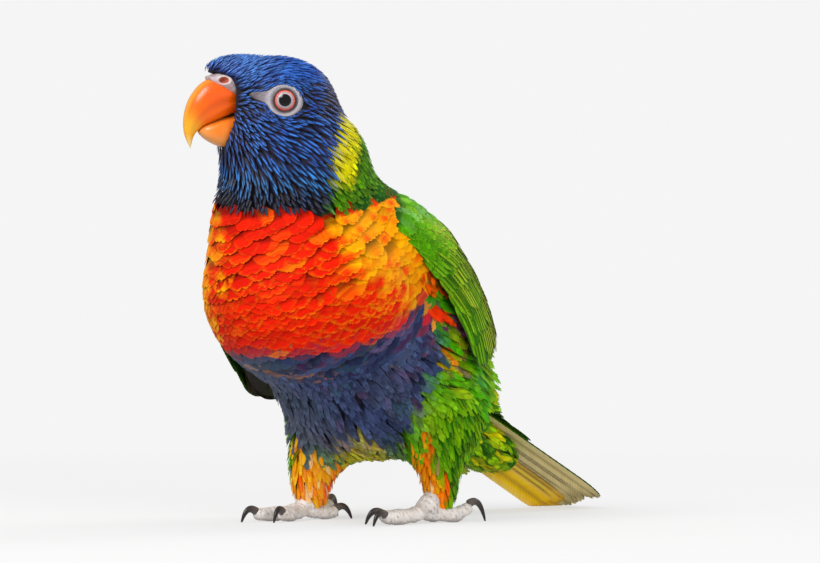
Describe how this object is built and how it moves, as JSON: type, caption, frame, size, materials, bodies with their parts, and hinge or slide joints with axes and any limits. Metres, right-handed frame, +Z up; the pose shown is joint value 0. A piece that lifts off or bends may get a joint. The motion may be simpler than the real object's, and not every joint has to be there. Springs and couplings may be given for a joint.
{
  "type": "parrot",
  "caption": "Standing parrot, life size and still, with a hooked bill, blue head turned to its right, red breast, green folded wings and a tail that rests on the floor.",
  "frame": {"origin": "on the floor, in the middle of the box that the bird fills", "axes": "the bird faces -Y, +X is its left side and +Z is up"},
  "size_m": [0.0754, 0.1666, 0.139],
  "materials": {
    "plumage_blue": "close barbed feathers",
    "plumage_neck": "close barbed feathers",
    "plumage_red": "scalloped soft feathers",
    "plumage_green": "smooth lapped feathers",
    "plumage_tail": "long stiff feathers",
    "bill": "satin horn",
    "cere": "bare soft skin",
    "eye": "wet gloss",
    "foot": "fine dull scales",
    "claw": "satin horn"
  },
  "bodies": {
    "root": {"upper_bill": "bill", "lower_bill": "bill", "cere": "cere", "left_eye": "eye", "right_eye": "eye", "head": "plumage_blue", "neck": "plumage_neck", "trunk": "plumage_red", "tail": "plumage_tail", "left_wing": "plumage_green", "right_wing": "plumage_green", "left_primaries": "plumage_green", "right_primaries": "plumage_green", "left_thigh": "plumage_green", "right_thigh": "plumage_green", "left_shank": "foot", "left_outer_front_toe": "foot", "left_outer_front_claw": "claw", "left_inner_front_toe": "foot", "left_inner_front_claw": "claw", "left_outer_rear_toe": "foot", "left_outer_rear_claw": "claw", "left_inner_rear_toe": "foot", "left_inner_rear_claw": "claw", "right_shank": "foot", "right_outer_front_toe": "foot", "right_outer_front_claw": "claw", "right_inner_front_toe": "foot", "right_inner_front_claw": "claw", "right_outer_rear_toe": "foot", "right_outer_rear_claw": "claw", "right_inner_rear_toe": "foot", "right_inner_rear_claw": "claw"}
  },
  "joints": []
}
